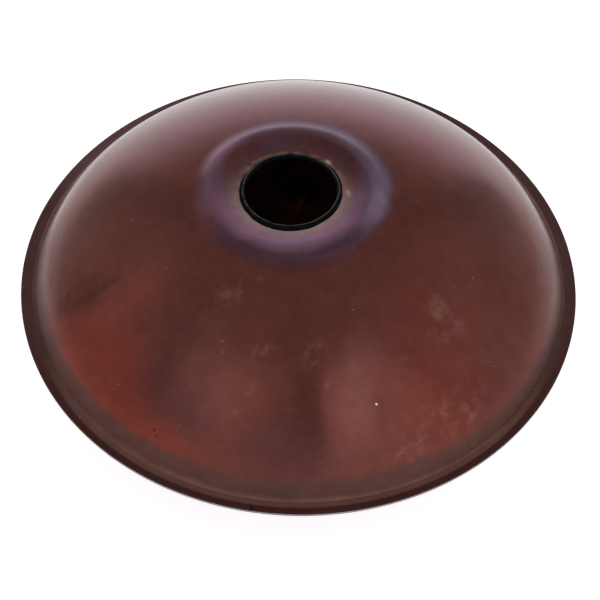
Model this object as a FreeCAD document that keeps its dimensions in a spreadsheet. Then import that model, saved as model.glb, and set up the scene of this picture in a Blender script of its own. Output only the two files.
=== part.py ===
"""A handpan: two deep-drawn steel shells bonded rim to rim, with a rubber edging in the port.

It lies on its note side, so the port faces up. The origin is on the floor under the crown of
the note side, +Z is up through the port side, and the port sits a little towards -X.
"""

import FreeCAD, Part

import math
import os

import Sketcher

Vector = FreeCAD.Vector
Rotation = FreeCAD.Rotation
Placement = FreeCAD.Placement

DIMENSIONS = {
    # both shells, drawn in the same press tool
    "rim_radius": 265.0,
    "sheet": 1.2,
    "bond_gap": 0.4,
    "crown_radius": 354.0,
    "crown_rise": 116.5,
    "shoulder_radius": 112.0,
    "wall_run": 14.0,
    "foot_fillet": 2.0,
    "wall_angle": 57.0,
    # the port and the raised ring round it
    "port_lean": 1.5,
    "ring_outer_radius": 94.0,
    "ring_valley_radius": 60.0,
    "ring_slope": 27.0,
    "ring_crest_radius": 28.0,
    "bowl_slope": 19.0,
    "bowl_radius": 43.3,
    "port_radius": 43.0,
    # rubber edging pushed over the edge of the port
    "trim_bore": 41.0,
    "trim_reach": 46.3,
    "trim_wall": 1.4,
    "trim_round": 1.0,
    "trim_tip_round": 0.6,
    "trim_joint_angle": 0.9,
    "trim_joint_heading": 247.0,
    # adhesive between the flanges
    "bond_inset": 0.3,
    # the centre note, flattened, with an inward dimple
    "centre_note_radius": 92.0,
    "centre_note_round": 60.0,
    "centre_dimple_round": 12.0,
    "centre_dimple_slope": 28.0,
    "centre_dimple_radius": 69.0,
    # the ring of tone fields
    "field_polar": 28.0,
    "field_length": 124.0,
    "field_width": 100.0,
    "dimple_length": 46.0,
    "dimple_width": 36.0,
    "dimple_depth": 4.0,
    "dimple_height": 25.0,
    "field_shrink": 0.42,
    "field_first_heading": 90.0,
}

# semitones of each tone field above the lowest one, in rising order
SCALE = [0, 1, 3, 5, 7, 8, 10, 12]
SEMITONES_PER_OCTAVE = 12
TOOL_MARGIN = 12.0
CAVITY_OVERRUN = 6.0
SHEET_NAME = "Dimensions"
EPSILON = 1e-7


def new_sheet(doc):
    """The spreadsheet of driving dimensions, one per row, each with an alias."""
    sheet = doc.addObject("Spreadsheet::Sheet", SHEET_NAME)
    for row, (name, value) in enumerate(DIMENSIONS.items(), start=1):
        sheet.set(f"A{row}", name)
        sheet.set(f"B{row}", str(value))
        sheet.setAlias(f"B{row}", name)
    doc.recompute()
    return sheet


def cell(name):
    """The expression that reads one driving dimension."""
    return f"{SHEET_NAME}.{name}"


def along(slope):
    """The way a sheet heads inwards, towards the axis, where it rises at slope degrees."""
    a = math.radians(slope)
    return Vector(-math.cos(a), math.sin(a), 0)


def outward(slope):
    """The outward normal of a sheet that rises inwards at slope degrees."""
    a = math.radians(slope)
    return Vector(math.sin(a), math.cos(a), 0)


class Run:
    """One line or arc of a section. Arcs run from one slope to another about a centre."""

    def __init__(self, start, end, centre=None, radius=0.0, convex=True, size=None):
        self.start, self.end, self.centre = start, end, centre
        self.radius, self.convex, self.size = radius, convex, size


def bend(start, first, last, radius, convex, size=None):
    """The arc from start, where the sheet has the slope first, to where it has the slope last."""
    side = -1 if convex else 1
    centre = start + outward(first) * (side * radius)
    end = centre - outward(last) * (side * radius)
    return Run(start, end, centre, radius, convex, size)


def straight(start, slope, radius):
    """The line from start at that slope to a distance of radius from the axis."""
    length = (start.x - radius) / math.cos(math.radians(slope))
    return Run(start, start + along(slope) * length)


def inner(run, sheet):
    """The same run on the inner face of the sheet, for an arc or a level or sloping line."""
    if run.centre is None:
        heading = (run.end - run.start).normalize()
        normal = Vector(heading.y, -heading.x, 0)
        return Run(run.start - normal * sheet, run.end - normal * sheet)
    radius = run.radius - sheet if run.convex else run.radius + sheet
    scale = radius / run.radius
    start = run.centre + (run.start - run.centre) * scale
    end = run.centre + (run.end - run.centre) * scale
    size = None
    if run.size:
        size = f"{run.size} {'-' if run.convex else '+'} {cell('sheet')}"
    return Run(start, end, run.centre, radius, run.convex, size)


def backwards(runs):
    """The same runs, taken from the last to the first."""
    return [Run(r.end, r.start, r.centre, r.radius, r.convex, r.size) for r in reversed(runs)]


def closed_with_lines(runs, corners):
    """The runs, then straight lines through the corners and back to the start."""
    points = [runs[-1].end, *corners, runs[0].start]
    lines = [Run(a, b) for a, b in zip(points, points[1:]) if (b - a).Length > EPSILON]
    return runs + lines


def arc_geometry(run):
    """A sketch arc for the run, and which of its ends the run starts from."""
    a = run.start - run.centre
    b = run.end - run.centre
    first, last = math.atan2(a.y, a.x), math.atan2(b.y, b.x)
    anticlockwise = (last - first) % (2 * math.pi) < math.pi
    low, high = (first, last) if anticlockwise else (last, first)
    circle = Part.Circle(run.centre, Vector(0, 0, 1), run.radius)
    return Part.ArcOfCircle(circle, low, high), (1, 2) if anticlockwise else (2, 1)


def new_body(doc, label):
    body = doc.addObject("PartDesign::Body", label)
    body.Label = label
    return body


def origin_plane(body, role):
    return next(f for f in body.Origin.OriginFeatures if f.Role == role)


def section_sketch(body, name, runs, offset=None):
    """A sketch of the closed section on the body's XZ plane. Radii are bound to the sheet."""
    sketch = body.newObject("Sketcher::SketchObject", name)
    sketch.AttachmentSupport = [(origin_plane(body, "XZ_Plane"), "")]
    sketch.MapMode = "FlatFace"
    if offset:
        sketch.AttachmentOffset = offset
    ends = []
    for run in runs:
        if run.centre is None:
            index = sketch.addGeometry(Part.LineSegment(run.start, run.end), False)
            ends.append((index, 1, 2))
        else:
            arc, (first, last) = arc_geometry(run)
            index = sketch.addGeometry(arc, False)
            ends.append((index, first, last))
    for this, following in zip(ends, ends[1:] + ends[:1]):
        sketch.addConstraint(
            Sketcher.Constraint("Coincident", this[0], this[2], following[0], following[1])
        )
    for run, (index, _, _) in zip(runs, ends):
        if run.size:
            number = sketch.addConstraint(Sketcher.Constraint("Radius", index, run.radius))
            sketch.setExpression(f"Constraints[{number}]", run.size)
    return sketch


def revolved(body, name, sketch, kind="PartDesign::Revolution", angle=360.0):
    feature = body.newObject(kind, name)
    feature.Profile = sketch
    feature.ReferenceAxis = (sketch, ["V_Axis"])
    feature.Angle = angle
    return feature


class Drawn:
    """The shape that both shells are drawn to, crown up, measured from the seam's middle."""

    def __init__(self, size):
        self.size = size
        self.under = size["bond_gap"] / 2
        self.over = self.under + size["sheet"]
        wall = math.radians(size["wall_angle"])
        fillet, shoulder = size["foot_fillet"], size["shoulder_radius"]
        crown = size["crown_radius"]
        self.centre_height = self.over + size["crown_rise"] - crown
        wall_top = self.over + fillet * (1 - math.cos(wall)) + size["wall_run"] * math.sin(wall)
        rise = wall_top - self.centre_height - shoulder * math.cos(wall)
        self.crown_edge = math.degrees(math.acos(rise / (crown - shoulder)))
        edge = math.radians(self.crown_edge)
        self.wall_radius = (crown - shoulder) * math.sin(edge) + shoulder * math.sin(wall)
        wall_foot = self.wall_radius + size["wall_run"] * math.cos(wall)
        self.foot_radius = wall_foot + fillet * math.sin(wall)

    def outside(self, crown_stop):
        """The outer face from the flange's foot to where the crown has the slope crown_stop."""
        size = self.size
        foot = Vector(self.foot_radius, self.over, 0)
        fillet = bend(foot, 0, size["wall_angle"], size["foot_fillet"], False, cell("foot_fillet"))
        wall = straight(fillet.end, size["wall_angle"], self.wall_radius)
        shoulder = bend(
            wall.end,
            size["wall_angle"],
            self.crown_edge,
            size["shoulder_radius"],
            True,
            cell("shoulder_radius"),
        )
        crown = bend(
            shoulder.end,
            self.crown_edge,
            crown_stop,
            size["crown_radius"],
            True,
            cell("crown_radius"),
        )
        return [fillet, wall, shoulder, crown]

    def flange_corners(self):
        """The flange's free corners, from the inner face's foot round to the outer face's."""
        rim = self.size["rim_radius"]
        return [Vector(rim, self.under, 0), Vector(rim, self.over, 0)]


def port_ring(size):
    """The outer face from the crown over the raised ring to the port, about the port's axis."""
    crown = size["crown_radius"]
    start_slope = math.degrees(math.asin(size["ring_outer_radius"] / crown))
    start = outward(start_slope) * crown
    valley = bend(
        start, start_slope, size["ring_slope"], size["ring_valley_radius"], False,
        cell("ring_valley_radius"),
    )
    crest = bend(
        valley.end, size["ring_slope"], -size["bowl_slope"], size["ring_crest_radius"], True,
        cell("ring_crest_radius"),
    )
    bowl = bend(
        crest.end, -size["bowl_slope"], 0, size["bowl_radius"], False, cell("bowl_radius")
    )
    lip = straight(bowl.end, 0, size["port_radius"])
    return start_slope, [valley, crest, bowl, lip]


def port_frame(drawn):
    """The port's axis runs through the crown's centre and leans towards -X."""
    size = drawn.size
    return Placement(
        Vector(0, drawn.centre_height, 0),
        Rotation(Vector(0, 0, 1), size["port_lean"]),
    )


def about_port(drawn, heading, lift):
    """Turned by heading about the port's leaning axis, then lifted."""
    lean = math.radians(drawn.size["port_lean"])
    axis = Vector(-math.sin(lean), 0, math.cos(lean))
    centre = Vector(0, 0, drawn.centre_height)
    turn = Placement(Vector(), Rotation(axis, heading), centre)
    return Placement(Vector(0, 0, lift), Rotation()).multiply(turn)


def make_port_shell(doc, drawn):
    """The lower shell in use: a plain crown with the port and its raised ring."""
    size = drawn.size
    body = new_body(doc, "port_shell")
    outside = drawn.outside(0)
    inside = backwards([inner(r, size["sheet"]) for r in outside])
    runs = closed_with_lines(
        outside + [Run(outside[-1].end, inside[0].start)] + inside, drawn.flange_corners()
    )
    revolved(body, "drawn_dome", section_sketch(body, "dome_section", runs))
    doc.recompute()

    frame = port_frame(drawn)
    slope, ring = port_ring(size)
    below = size["crown_radius"] - TOOL_MARGIN
    above = size["crown_radius"] + TOOL_MARGIN
    corner, top = outward(slope) * below, outward(slope) * above
    cutter = [
        Run(Vector(0, corner.y, 0), corner),
        Run(corner, top),
        Run(top, Vector(0, above, 0)),
        Run(Vector(0, above, 0), Vector(0, corner.y, 0)),
    ]
    whole = body.Shape.Volume
    revolved(
        body, "port_cut", section_sketch(body, "cut_section", cutter, frame), "PartDesign::Groove"
    )
    doc.recompute()
    if body.Shape.Volume > 0.95 * whole:
        raise RuntimeError("the port's groove cut nothing")

    inside_ring = backwards([inner(r, size["sheet"]) for r in ring])
    runs = closed_with_lines(ring + [Run(ring[-1].end, inside_ring[0].start)] + inside_ring, [])
    revolved(body, "port_ring", section_sketch(body, "ring_section", runs, frame))
    return body


def make_port_trim(doc, drawn):
    """A strip of U-shaped rubber edging, pushed over the port's edge with its ends butted."""
    size = drawn.size
    body = new_body(doc, "port_trim")
    lip_top = port_ring(size)[1][-1].end.y
    lip_bottom = lip_top - size["sheet"]
    bore, reach, port = size["trim_bore"], size["trim_reach"], size["port_radius"]
    low, high = lip_bottom - size["trim_wall"], lip_top + size["trim_wall"]
    nose, tip = size["trim_round"], size["trim_tip_round"]
    corners = [
        (Vector(port, lip_bottom, 0), 0.0, None),
        (Vector(reach, lip_bottom, 0), 0.0, None),
        (Vector(reach, low, 0), tip, cell("trim_tip_round")),
        (Vector(bore, low, 0), nose, cell("trim_round")),
        (Vector(bore, high, 0), nose, cell("trim_round")),
        (Vector(reach, high, 0), tip, cell("trim_tip_round")),
        (Vector(reach, lip_top, 0), 0.0, None),
        (Vector(port, lip_top, 0), 0.0, None),
    ]
    revolved(
        body,
        "edging",
        section_sketch(body, "edging_section", rounded(corners), port_frame(drawn)),
        angle=360.0 - size["trim_joint_angle"],
    )
    return body


def rounded(corners):
    """The closed outline through the corners, each rounded by its own radius."""
    points = [c[0] for c in corners]
    count = len(points)
    cuts = []
    for i, (point, radius, size) in enumerate(corners):
        before = (points[i - 1] - point).normalize()
        after = (points[(i + 1) % count] - point).normalize()
        reach = radius / math.tan(before.getAngle(after) / 2) if radius else 0.0
        first, last = point + before * reach, point + after * reach
        centre = None
        if radius:
            middle = (before + after).normalize()
            centre = point + middle * math.hypot(radius, reach)
        cuts.append((first, last, centre, radius, size))
    runs = []
    for i, (first, last, centre, radius, size) in enumerate(cuts):
        if centre is not None:
            runs.append(Run(first, last, centre, radius, True, size))
        runs.append(Run(last, cuts[(i + 1) % count][0]))
    return runs


def make_rim_bond(doc, drawn):
    """The ring of adhesive between the two flanges, set back a little from their edges."""
    size = drawn.size
    bond = doc.addObject("Part::Cut", "rim_bond")
    disc = doc.addObject("Part::Cylinder", "bond_disc")
    disc.setExpression("Radius", f"{cell('rim_radius')} - {cell('bond_inset')}")
    disc.setExpression("Height", cell("bond_gap"))
    hole = doc.addObject("Part::Cylinder", "bond_hole")
    hole.Radius = drawn.foot_radius + size["bond_inset"]
    hole.setExpression("Height", cell("bond_gap"))
    bond.Base, bond.Tool = disc, hole
    bond.Label = "rim_bond"
    return bond


def note_outside(drawn):
    """The outer face of the note side, in to the bottom of the centre note's dimple."""
    size = drawn.size
    edge = math.degrees(math.asin(size["centre_note_radius"] / size["crown_radius"]))
    steep = size["centre_dimple_slope"]
    runs = drawn.outside(edge)
    shade = bend(runs[-1].end, edge, 0, size["centre_note_round"], True, cell("centre_note_round"))
    across = size["centre_dimple_round"] + size["centre_dimple_radius"]
    level = straight(shade.end, 0, across * math.sin(math.radians(steep)))
    lip = bend(
        level.end, 0, -steep, size["centre_dimple_round"], True, cell("centre_dimple_round")
    )
    dimple = bend(
        lip.end, -steep, 0, size["centre_dimple_radius"], False, cell("centre_dimple_radius")
    )
    return runs + [shade, level, lip, dimple]


def field_frame(drawn, heading):
    """A tone field's frame on the crown: X down the crown, Y round it, Z along its normal."""
    size = drawn.size
    turn = Rotation(Vector(0, 0, 1), heading).multiply(
        Rotation(Vector(0, 1, 0), size["field_polar"])
    )
    return Placement(Vector(0, 0, drawn.centre_height), turn)


def tone_fields():
    """Heading and relative size of each tone field: low notes nearest the player, then by turns."""
    step = 360.0 / len(SCALE)
    shrink = DIMENSIONS["field_shrink"]
    fields = []
    for number, semitones in enumerate(SCALE):
        side = 1 if number % 2 else -1
        turns = (number + 1) // 2
        heading = DIMENSIONS["field_first_heading"] + side * turns * step
        fields.append((heading, 2 ** (-semitones / SEMITONES_PER_OCTAVE * shrink)))
    return fields


def field_tools(doc, drawn, prefix, depth_of_sheet):
    """What is taken off the crown for the tone fields, and then for their dimples."""
    size = drawn.size
    crown, sheet = size["crown_radius"], depth_of_sheet
    flats, dimples = [], []
    for number, (heading, scale) in enumerate(tone_fields(), start=1):
        half_width = size["field_width"] * scale / 2
        half_length = size["field_length"] * scale / 2
        depth = half_width**2 / (2 * crown)
        sweep = 1 / (1 / crown - 2 * depth / half_length**2)
        level = crown - depth
        frame = field_frame(drawn, heading)
        reach = half_length + TOOL_MARGIN

        block = doc.addObject("Part::Box", f"{prefix}_block_{number}")
        block.Length, block.Width, block.Height = 2 * reach, 2 * reach, 3 * TOOL_MARGIN
        corner = Vector(-reach, -reach, level - sheet - TOOL_MARGIN)
        block.Placement = frame.multiply(Placement(corner, Rotation()))
        roller = doc.addObject("Part::Cylinder", f"{prefix}_roller_{number}")
        roller.Radius, roller.Height = sweep - sheet, 4 * reach
        axle = Placement(
            Vector(0, 2 * reach, level - sweep), Rotation(Vector(1, 0, 0), 90)
        )
        roller.Placement = frame.multiply(axle)
        flat = doc.addObject("Part::Cut", f"{prefix}_flat_{number}")
        flat.Base, flat.Tool = block, roller
        flats.append(flat)

        height = size["dimple_height"]
        spread = math.sqrt(1 - ((height - size["dimple_depth"]) / height) ** 2)
        dimple = doc.addObject("Part::Ellipsoid", f"{prefix}_dimple_{number}")
        grown = f"+ {sheet} mm"
        dimple.Angle1, dimple.Angle2, dimple.Angle3 = -90, 90, 360
        dimple.setExpression("Radius1", f"{cell('dimple_height')} * 1 mm {grown}")
        dimple.setExpression(
            "Radius2", f"{cell('dimple_length')} * 1 mm * {scale / spread / 2} {grown}"
        )
        dimple.setExpression(
            "Radius3", f"{cell('dimple_width')} * 1 mm * {scale / spread / 2} {grown}"
        )
        centre = Vector(0, 0, level + height - size["dimple_depth"])
        dimple.Placement = frame.multiply(Placement(centre, Rotation()))
        dimples.append(dimple)
    groups = []
    for name, members in (("flats", flats), ("dimples", dimples)):
        group = doc.addObject("Part::Compound", f"{prefix}_{name}")
        group.Links = members
        groups.append(group)
    return groups


def struck(doc, name, blank, tools):
    """The blank with each group of tools taken off it in turn."""
    for number, tool in enumerate(tools, start=1):
        cut = doc.addObject("Part::Cut", f"{name}_{number}")
        cut.Base, cut.Tool = blank, tool
        blank = cut
    return blank


def make_note_shell(doc, drawn):
    """The upper shell in use: a flattened centre note, ringed by tone fields with dimples."""
    size = drawn.size
    outside = note_outside(drawn)
    height = max(run.end.y for run in outside)
    form = new_body(doc, "note_form")
    solid = closed_with_lines(outside, [Vector(0, drawn.under, 0), *drawn.flange_corners()])
    revolved(form, "form", section_sketch(form, "form_section", solid))

    hollow = new_body(doc, "note_hollow")
    inside = [inner(r, size["sheet"]) for r in outside]
    low = drawn.under - CAVITY_OVERRUN
    space = closed_with_lines(
        inside, [Vector(0, low, 0), Vector(drawn.foot_radius, low, 0)]
    )
    revolved(hollow, "hollow", section_sketch(hollow, "hollow_section", space))
    doc.recompute()

    outer = struck(doc, "struck_form", form, field_tools(doc, drawn, "outer", 0.0))
    inner_form = struck(
        doc, "struck_hollow", hollow, field_tools(doc, drawn, "inner", size["sheet"])
    )
    shell = doc.addObject("Part::Cut", "note_shell")
    shell.Base, shell.Tool = outer, inner_form
    shell.Label = "note_shell"
    return shell, height


def check(doc, parts):
    """Stops if any object failed to build, or a sub-part isn't one valid closed solid."""
    for thing in doc.Objects:
        if "Invalid" in thing.State or "Error" in thing.State:
            raise RuntimeError(f"{thing.Name} did not build: {thing.State}")
    for part in parts:
        shape = part.Shape
        if shape.isNull() or not shape.isValid() or len(shape.Solids) != 1:
            raise RuntimeError(f"{part.Label} is not one valid solid")
        box = shape.optimalBoundingBox(False)
        print(
            f"{part.Label}: volume {shape.Volume:.0f} mm3, "
            f"X {box.XMin:.2f} to {box.XMax:.2f}, Y {box.YMin:.2f} to {box.YMax:.2f}, "
            f"Z {box.ZMin:.2f} to {box.ZMax:.2f}"
        )


def main():
    doc = FreeCAD.newDocument("handpan")
    sheet = new_sheet(doc)
    drawn = Drawn({name: float(sheet.get(name)) for name in DIMENSIONS})
    size = drawn.size

    note_shell, seam = make_note_shell(doc, drawn)
    port_shell = make_port_shell(doc, drawn)
    port_trim = make_port_trim(doc, drawn)
    rim_bond = make_rim_bond(doc, drawn)
    doc.recompute()

    note_shell.Placement = Placement(Vector(0, 0, seam), Rotation(Vector(1, 0, 0), 180))
    port_shell.Placement = Placement(Vector(0, 0, seam), Rotation())
    rim_bond.Placement = Placement(Vector(0, 0, seam - size["bond_gap"] / 2), Rotation())
    port_trim.Placement = about_port(drawn, size["trim_joint_heading"], seam)
    doc.recompute()

    parts = [note_shell, port_shell, port_trim, rim_bond]
    check(doc, parts)
    os.makedirs("parts", exist_ok=True)
    for part in parts:
        part.Shape.exportStep(f"parts/{part.Label}.step")


main()
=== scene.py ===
"""The handpan's looks: both pressed shells, the port's edging, the bond and a plain studio."""

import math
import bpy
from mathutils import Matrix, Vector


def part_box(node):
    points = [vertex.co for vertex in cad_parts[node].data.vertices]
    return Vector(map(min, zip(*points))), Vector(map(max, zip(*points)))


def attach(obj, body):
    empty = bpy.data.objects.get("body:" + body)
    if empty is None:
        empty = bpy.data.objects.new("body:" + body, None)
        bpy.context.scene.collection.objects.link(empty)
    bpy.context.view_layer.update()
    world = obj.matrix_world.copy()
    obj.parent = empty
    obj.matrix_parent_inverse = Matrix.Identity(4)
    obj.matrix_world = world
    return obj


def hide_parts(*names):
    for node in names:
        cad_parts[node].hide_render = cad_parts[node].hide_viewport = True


bl_info = {
    "name": "Handpan",
    "version": (1, 0, 0),
    "blender": (4, 5, 0),
    "location": "View3D > Sidebar > Handpan",
    "description": "Models a heat-coloured steel handpan with its port facing up",
    "category": "Add Mesh",
}

import bpy
from bpy.props import FloatProperty, FloatVectorProperty, IntProperty, PointerProperty
from mathutils import Matrix, Vector

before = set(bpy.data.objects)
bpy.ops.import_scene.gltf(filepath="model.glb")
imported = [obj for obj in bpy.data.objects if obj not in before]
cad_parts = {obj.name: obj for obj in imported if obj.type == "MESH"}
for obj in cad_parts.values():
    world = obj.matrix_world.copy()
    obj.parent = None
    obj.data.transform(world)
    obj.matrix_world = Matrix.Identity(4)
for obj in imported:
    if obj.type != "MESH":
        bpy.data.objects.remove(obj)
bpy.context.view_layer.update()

MM = 0.001
SEAM = (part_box("rim_bond")[0].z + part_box("rim_bond")[1].z) / 2
RIM_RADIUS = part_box("port_shell")[1].x
SHEET = 1.2 * MM
MERGE_DISTANCE = 0.002 * MM
BOND_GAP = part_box("rim_bond")[1].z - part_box("rim_bond")[0].z
AXIS = Vector((0, 0, 1))
PORT_X = (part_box("port_trim")[0].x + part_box("port_trim")[1].x) / 2
# a scale so large that a piece's height drops out of a distance
FLATTENED = 1000
# how far up the wall the press's unevenness takes to reach its full depth
WAVES_RISE = 28 * MM
# how far the ring's lean is smoothed out into the crown
LEAN_REACH = 110 * MM


def length(name, about, default):
    return FloatProperty(name=name, description=about, default=default, unit="LENGTH", precision=5)


def turn(name, about, degrees):
    angle = math.radians(degrees)
    return FloatProperty(name=name, description=about, default=angle, unit="ROTATION")


def tint(name, about, default):
    settings = {"subtype": "COLOR", "size": 3, "min": 0, "max": 1}
    return FloatVectorProperty(name=name, description=about, default=default, **settings)


class PressShape(bpy.types.PropertyGroup):
    """What both shells are drawn to."""

    rim_radius: length("Rim radius", "From the axis to the flange's edge", RIM_RADIUS)
    sheet: length("Sheet", "Thickness of the steel", SHEET)
    bond_gap: length("Bond gap", "Between the two flanges", BOND_GAP)
    crown_radius: length("Crown radius", "Radius of the crown's sphere", 354 * MM)
    crown_rise: length("Crown rise", "Crown's top above the flange", 116.5 * MM)
    shoulder_radius: length("Shoulder radius", "Arc between crown and wall", 112 * MM)
    wall_run: length("Wall run", "Straight stretch down the wall", 14 * MM)
    foot_fillet: length("Foot fillet", "Arc between wall and flange", 2 * MM)
    wall_angle: turn("Wall angle", "Steepest slope of the wall", 57.0)
    segments: IntProperty(name="Segments", description="Faces round each shell", default=320)


class PortShape(bpy.types.PropertyGroup):
    """The port, its raised ring and its edging."""

    lean: turn("Lean", "Of the port's axis towards -X", 1.5)
    ring_outer_radius: length("Ring outer radius", "Where the ring leaves the crown", 94 * MM)
    valley_radius: length("Valley radius", "Arc at the ring's foot", 60 * MM)
    ring_slope: turn("Ring slope", "Steepest slope outside the ring", 27.0)
    crest_radius: length("Crest radius", "Arc over the ring", 28 * MM)
    bowl_slope: turn("Bowl slope", "Steepest slope inside the ring", 19.0)
    bowl_radius: length("Bowl radius", "Arc at the bowl's foot", 43.3 * MM)
    radius: length("Port radius", "Of the hole in the sheet", 43.0 * MM)
    trim_bore: length("Edging bore", "Radius inside the edging", 41.0 * MM)
    trim_reach: length("Edging reach", "Radius to the edging's lips", 46.3 * MM)
    trim_wall: length("Edging wall", "Thickness of the rubber", 1.4 * MM)
    joint_heading: turn("Joint heading", "Where the edging's ends meet", 247.0)
    joint_angle: turn("Joint angle", "Gap between the edging's ends", 0.9)


class NoteShape(bpy.types.PropertyGroup):
    """The centre note and the ring of tone fields."""

    centre_radius: length("Centre note radius", "Edge of the flattened centre", 92.0 * MM)
    centre_round: length("Centre note round", "Arc at the centre note's edge", 60.0 * MM)
    dimple_slope: turn("Centre dimple slope", "Steepest slope in the centre dimple", 28.0)
    dimple_round: length("Centre dimple round", "Arc at the dimple's lip", 12.0 * MM)
    dimple_radius: length("Centre dimple radius", "Arc across the dimple", 69.0 * MM)
    field_polar: turn("Tone field angle", "From the axis to a tone field's middle", 28.0)
    field_length: length("Tone field length", "Of the lowest note, down the crown", 124.0 * MM)
    field_width: length("Tone field width", "Of the lowest note, round the crown", 100.0 * MM)
    field_dimple: length("Tone field dimple", "Length of the lowest note's dimple", 46.0 * MM)
    field_dimple_depth: length("Dimple depth", "Of each tone field's dimple", 4.0 * MM)


class SteelLook(bpy.types.PropertyGroup):
    """Colours of the heat-coloured steel."""

    brown: tint("Brown", "Most of the oxide", (0.135, 0.040, 0.031))
    red: tint("Red", "Warmer oxide", (0.185, 0.038, 0.025))
    violet: tint("Violet", "Hotter oxide round the port", (0.135, 0.062, 0.094))
    blue: tint("Blue", "The hottest patches", (0.092, 0.033, 0.034))
    olive: tint("Olive", "Oxide along the wall", (0.085, 0.042, 0.036))
    flange: tint("Flange", "Dark oxide on the flange", (0.090, 0.030, 0.027))
    bare: tint("Bare steel", "Ground edges", (0.30, 0.29, 0.285))


class StageLook(bpy.types.PropertyGroup):
    """Where the camera stands, and the floor's colour."""

    elevation: turn("Elevation", "Of the camera above the rim's plane", 50.95)
    distance: length("Distance", "From the camera to the rim's centre", 1.1576)
    lens: FloatProperty(name="Lens", description="Focal length in millimetres", default=72.0)
    yaw: turn("Yaw", "Of the camera off the rim's centre", 0.0764)
    pitch: turn("Pitch", "Of the camera below the rim's centre", -1.593)
    roll: turn("Roll", "Of the camera", 1.405)
    floor: tint("Floor", "Pale floor", (0.9, 0.9, 0.9))


# -------------------- sections and meshes


def slope_normal(slope):
    """The outward normal of a sheet that rises towards the axis at that slope."""
    return Vector((math.sin(slope), 0, math.cos(slope)))


def deselect_everything():
    if bpy.context.object and bpy.context.object.mode != "OBJECT":
        bpy.ops.object.mode_set(mode="OBJECT")
    bpy.ops.object.select_all(action="DESELECT")


def make_active(piece):
    deselect_everything()
    piece.select_set(True)
    bpy.context.view_layer.objects.active = piece


def edit_whole(piece):
    """Enters edit mode on the piece with everything selected."""
    make_active(piece)
    bpy.ops.object.mode_set(mode="EDIT")
    bpy.ops.mesh.select_all(action="SELECT")


def leave_edit():
    bpy.ops.object.mode_set(mode="OBJECT")


def merge_doubles():
    bpy.ops.mesh.select_all(action="SELECT")
    bpy.ops.mesh.remove_doubles(threshold=MERGE_DISTANCE)


def turn_out():
    """Points every face of the piece in edit mode outwards, and leaves edit mode."""
    bpy.ops.mesh.select_all(action="SELECT")
    bpy.ops.mesh.normals_make_consistent(inside=False)
    leave_edit()


def select_vertices(piece, wanted):
    """In edit mode, selects the vertices that the test wants and no others."""
    leave_edit()
    bpy.context.tool_settings.mesh_select_mode = (True, False, False)
    mesh = piece.data
    for group in (mesh.edges, mesh.polygons):
        group.foreach_set("select", [False] * len(group))
    mesh.vertices.foreach_set("select", [bool(wanted(v.co)) for v in mesh.vertices])
    bpy.ops.object.mode_set(mode="EDIT")


class Section:
    """A section drawn on the XZ plane, vertex by vertex, then spun into a shell."""

    def __init__(self, name, x, z):
        deselect_everything()
        bpy.ops.mesh.primitive_plane_add(size=MM, location=(0, 0, 0))
        self.piece = bpy.context.object
        self.piece.name = name
        self.piece.data.name = name
        bpy.context.tool_settings.mesh_select_mode = (True, False, False)
        edit_whole(self.piece)
        bpy.ops.mesh.merge(type="CENTER")
        bpy.ops.transform.translate(value=(x, 0, z))
        self.at = Vector((x, 0, z))

    def line(self, x, z, steps=1):
        step = (Vector((x, 0, z)) - self.at) / steps
        for _ in range(steps):
            bpy.ops.mesh.extrude_region_move(TRANSFORM_OT_translate={"value": step})
        self.at = Vector((x, 0, z))

    def arc(self, first, last, radius, convex, steps):
        """An arc along which the slope goes from first to last."""
        side = 1 if convex else -1
        centre = self.at - slope_normal(first) * (side * radius)
        axis = (0, 1 if last < first else -1, 0)
        bpy.ops.mesh.spin(steps=steps, angle=abs(last - first), center=centre, axis=axis)
        self.at = centre + slope_normal(last) * (side * radius)

    def spin(self, steps, angle=2 * math.pi):
        bpy.ops.mesh.select_all(action="SELECT")
        bpy.ops.mesh.spin(steps=steps, angle=angle, center=(0, 0, 0), axis=AXIS)
        merge_doubles()
        return self.piece


def face_up(piece):
    """Turns an open skin's faces so that its flange faces up."""
    turn_out()
    widest = max(piece.data.polygons, key=lambda face: face.center.xy.length)
    if widest.normal.z < 0:
        edit_whole(piece)
        bpy.ops.mesh.flip_normals()
        leave_edit()


def apply_modifier(piece, kind, name, **settings):
    make_active(piece)
    modifier = piece.modifiers.new(name, kind)
    for key, value in settings.items():
        setattr(modifier, key, value)
    bpy.ops.object.modifier_apply(modifier=modifier.name)


def smooth(piece, degrees):
    make_active(piece)
    bpy.ops.object.shade_smooth_by_angle(angle=math.radians(degrees))


def press_waves(piece, drawn, depths):
    """Soft unevenness from the press: none on the flange, never proud of the drawn shape."""
    group = piece.vertex_groups.new(name="dome")
    for vertex in piece.data.vertices:
        risen = (drawn.foot_radius - vertex.co.xy.length) / WAVES_RISE
        group.add([vertex.index], min(1.0, max(0.0, risen)), "REPLACE")
    for number, (size, depth) in enumerate(depths):
        texture = bpy.data.textures.new(f"waves_{number}", "CLOUDS")
        texture.noise_scale = size
        texture.noise_depth = 1
        settings = {"strength": depth, "mid_level": 1.0, "vertex_group": group.name}
        settings.update(texture=texture, texture_coords="LOCAL")
        apply_modifier(piece, "DISPLACE", "waves", **settings)
        bpy.data.textures.remove(texture)


def nudge(piece, place, move, reach):
    """Pushes the nearest vertex of the piece, and its neighbours less the farther off they are."""
    place = Vector(place)
    nearest = min((vertex.co - place).length for vertex in piece.data.vertices)
    make_active(piece)
    select_vertices(piece, lambda at: (at - place).length < nearest + 0.01 * MM)
    bpy.ops.transform.translate(
        value=move,
        use_proportional_edit=True,
        proportional_edit_falloff="SMOOTH",
        proportional_size=reach,
    )
    leave_edit()


# -------------------- the drawn shells


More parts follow.
